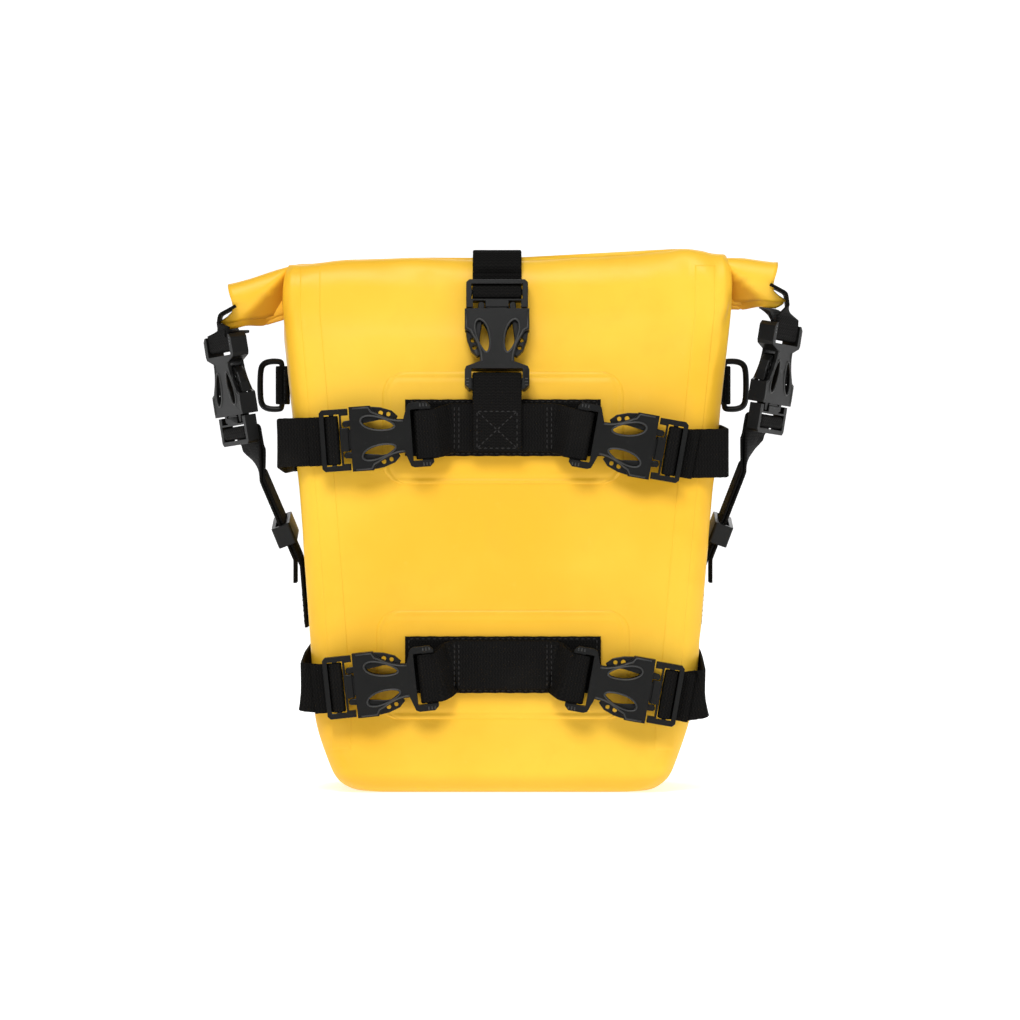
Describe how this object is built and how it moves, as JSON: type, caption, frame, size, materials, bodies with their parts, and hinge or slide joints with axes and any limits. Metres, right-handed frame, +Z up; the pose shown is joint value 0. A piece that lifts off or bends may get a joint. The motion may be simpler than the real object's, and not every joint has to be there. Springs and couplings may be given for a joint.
{
  "type": "roll-top motorcycle tail bag",
  "caption": "Small roll-top waterproof bag with webbing straps, side-release buckles that squeeze, side rings that swing and sliding strap keepers.",
  "frame": {"origin": "middle of the flat base that the bag stands on", "axes": "+Z up towards the rolled mouth, -Y out of the front with the two strap pairs, +X to the right seen from the front"},
  "size_m": [0.3096, 0.129, 0.2767],
  "materials": {
    "tarpaulin": "PVC-coated polyester, satin, welded seams, warm yellow",
    "webbing": "woven polypropylene webbing, black, matt",
    "acetal": "moulded acetal, black, satin with a fine grain",
    "board": "black polyethylene sheet"
  },
  "bodies": {
    "bag": {"anchor_webbing": "webbing", "back_board": "board", "back_panel": "tarpaulin", "front_panel": "tarpaulin", "gusset": "tarpaulin", "left_back_keeper": "webbing", "left_ear_loop": "webbing", "left_ring_tab": "webbing", "left_side_buckle_female": "acetal", "left_side_buckle_male": "acetal", "left_side_webbing": "webbing", "lower_base_strip": "webbing", "lower_centre_webbing": "webbing", "lower_left_buckle_female": "acetal", "lower_left_buckle_male": "acetal", "lower_patch": "tarpaulin", "lower_right_buckle_female": "acetal", "lower_right_buckle_male": "acetal", "lower_wrap_webbing": "webbing", "mouth_stiffener": "board", "right_back_keeper": "webbing", "right_ear_loop": "webbing", "right_ring_tab": "webbing", "right_side_buckle_female": "acetal", "right_side_buckle_male": "acetal", "right_side_webbing": "webbing", "rolled_collar": "tarpaulin", "top_buckle_female": "acetal", "top_buckle_male": "acetal", "top_webbing": "webbing", "upper_base_strip": "webbing", "upper_centre_webbing": "webbing", "upper_left_buckle_female": "acetal", "upper_left_buckle_male": "acetal", "upper_patch": "tarpaulin", "upper_right_buckle_female": "acetal", "upper_right_buckle_male": "acetal", "upper_wrap_webbing": "webbing"},
    "left_ring": {"left_ring": "acetal"},
    "left_side_buckle_arm_a": {"left_side_buckle_arm_a": "acetal"},
    "left_side_buckle_arm_b": {"left_side_buckle_arm_b": "acetal"},
    "left_slider": {"left_slider": "acetal"},
    "lower_left_buckle_arm_a": {"lower_left_buckle_arm_a": "acetal"},
    "lower_left_buckle_arm_b": {"lower_left_buckle_arm_b": "acetal"},
    "lower_right_buckle_arm_a": {"lower_right_buckle_arm_a": "acetal"},
    "lower_right_buckle_arm_b": {"lower_right_buckle_arm_b": "acetal"},
    "right_ring": {"right_ring": "acetal"},
    "right_side_buckle_arm_a": {"right_side_buckle_arm_a": "acetal"},
    "right_side_buckle_arm_b": {"right_side_buckle_arm_b": "acetal"},
    "right_slider": {"right_slider": "acetal"},
    "top_buckle_arm_a": {"top_buckle_arm_a": "acetal"},
    "top_buckle_arm_b": {"top_buckle_arm_b": "acetal"},
    "upper_left_buckle_arm_a": {"upper_left_buckle_arm_a": "acetal"},
    "upper_left_buckle_arm_b": {"upper_left_buckle_arm_b": "acetal"},
    "upper_right_buckle_arm_a": {"upper_right_buckle_arm_a": "acetal"},
    "upper_right_buckle_arm_b": {"upper_right_buckle_arm_b": "acetal"}
  },
  "joints": [
    {"name": "left_ring_swing", "type": "hinge", "parent": "bag", "child": "left_ring", "pos_m": [-0.11507, 0.008, 0.209], "axis": [0, 0, 1], "range_deg": [-50, 50]},
    {"name": "left_side_buckle_arm_a_flex", "type": "hinge", "parent": "bag", "child": "left_side_buckle_arm_a", "pos_m": [-0.14038, -0.02576, 0.19065], "axis": [0.8697, 0.474, 0.1377], "range_deg": [0, 11], "stiffness_Nm_per_rad": 0.35},
    {"name": "left_side_buckle_arm_b_flex", "type": "hinge", "parent": "bag", "child": "left_side_buckle_arm_b", "pos_m": [-0.13289, -0.03984, 0.19183], "axis": [-0.8697, -0.474, -0.1377], "range_deg": [0, 11.5], "stiffness_Nm_per_rad": 0.35},
    {"name": "left_slider_slide", "type": "slide", "parent": "bag", "child": "left_slider", "axis": [-0.3689, -0.1708, 0.9137], "range_m": [0, 0.014]},
    {"name": "lower_left_buckle_arm_a_flex", "type": "hinge", "parent": "bag", "child": "lower_left_buckle_arm_a", "pos_m": [-0.0785, -0.0651, 0.06337], "axis": [0, 1, 0], "range_deg": [0, 11], "stiffness_Nm_per_rad": 0.35},
    {"name": "lower_left_buckle_arm_b_flex", "type": "hinge", "parent": "bag", "child": "lower_left_buckle_arm_b", "pos_m": [-0.07682, -0.0651, 0.04745], "axis": [0, -1, 0], "range_deg": [0, 11.5], "stiffness_Nm_per_rad": 0.35},
    {"name": "lower_right_buckle_arm_a_flex", "type": "hinge", "parent": "bag", "child": "lower_right_buckle_arm_a", "pos_m": [0.07584, -0.0651, 0.0445], "axis": [0, 1, 0], "range_deg": [0, 11], "stiffness_Nm_per_rad": 0.35},
    {"name": "lower_right_buckle_arm_b_flex", "type": "hinge", "parent": "bag", "child": "lower_right_buckle_arm_b", "pos_m": [0.07862, -0.0651, 0.06026], "axis": [0, -1, 0], "range_deg": [0, 11.5], "stiffness_Nm_per_rad": 0.35},
    {"name": "right_ring_swing", "type": "hinge", "parent": "bag", "child": "right_ring", "pos_m": [0.11507, 0.008, 0.209], "axis": [0, 0, 1], "range_deg": [-50, 50]},
    {"name": "right_side_buckle_arm_a_flex", "type": "hinge", "parent": "bag", "child": "right_side_buckle_arm_a", "pos_m": [0.13289, -0.03984, 0.19783], "axis": [-0.8697, 0.474, 0.1377], "range_deg": [0, 11], "stiffness_Nm_per_rad": 0.35},
    {"name": "right_side_buckle_arm_b_flex", "type": "hinge", "parent": "bag", "child": "right_side_buckle_arm_b", "pos_m": [0.14038, -0.02576, 0.19665], "axis": [0.8697, -0.474, -0.1377], "range_deg": [0, 11.5], "stiffness_Nm_per_rad": 0.35},
    {"name": "right_slider_slide", "type": "slide", "parent": "bag", "child": "right_slider", "axis": [0.3399, -0.1573, 0.9272], "range_m": [0, 0.014]},
    {"name": "top_buckle_arm_a_flex", "type": "hinge", "parent": "bag", "child": "top_buckle_arm_a", "pos_m": [0.005, -0.05115, 0.24947], "axis": [0, 0.9845, -0.1752], "range_deg": [0, 11], "stiffness_Nm_per_rad": 0.35},
    {"name": "top_buckle_arm_b_flex", "type": "hinge", "parent": "bag", "child": "top_buckle_arm_b", "pos_m": [-0.011, -0.05115, 0.24947], "axis": [0, -0.9845, 0.1752], "range_deg": [0, 11.5], "stiffness_Nm_per_rad": 0.35},
    {"name": "upper_left_buckle_arm_a_flex", "type": "hinge", "parent": "bag", "child": "upper_left_buckle_arm_a", "pos_m": [-0.08035, -0.06141, 0.18892], "axis": [0, 1, 0], "range_deg": [0, 11], "stiffness_Nm_per_rad": 0.35},
    {"name": "upper_left_buckle_arm_b_flex", "type": "hinge", "parent": "bag", "child": "upper_left_buckle_arm_b", "pos_m": [-0.07923, -0.06141, 0.17296], "axis": [0, -1, 0], "range_deg": [0, 11.5], "stiffness_Nm_per_rad": 0.35},
    {"name": "upper_right_buckle_arm_a_flex", "type": "hinge", "parent": "bag", "child": "upper_right_buckle_arm_a", "pos_m": [0.07784, -0.06141, 0.1685], "axis": [0, 1, 0], "range_deg": [0, 11], "stiffness_Nm_per_rad": 0.35},
    {"name": "upper_right_buckle_arm_b_flex", "type": "hinge", "parent": "bag", "child": "upper_right_buckle_arm_b", "pos_m": [0.08062, -0.06141, 0.18426], "axis": [0, -1, 0], "range_deg": [0, 11.5], "stiffness_Nm_per_rad": 0.35}
  ],
  "couplings": [
    {"joint": "left_side_buckle_arm_b_flex", "follows": "left_side_buckle_arm_a_flex", "ratio": 1},
    {"joint": "lower_left_buckle_arm_b_flex", "follows": "lower_left_buckle_arm_a_flex", "ratio": 1},
    {"joint": "lower_right_buckle_arm_b_flex", "follows": "lower_right_buckle_arm_a_flex", "ratio": 1},
    {"joint": "right_side_buckle_arm_b_flex", "follows": "right_side_buckle_arm_a_flex", "ratio": 1},
    {"joint": "top_buckle_arm_b_flex", "follows": "top_buckle_arm_a_flex", "ratio": 1},
    {"joint": "upper_left_buckle_arm_b_flex", "follows": "upper_left_buckle_arm_a_flex", "ratio": 1},
    {"joint": "upper_right_buckle_arm_b_flex", "follows": "upper_right_buckle_arm_a_flex", "ratio": 1}
  ]
}
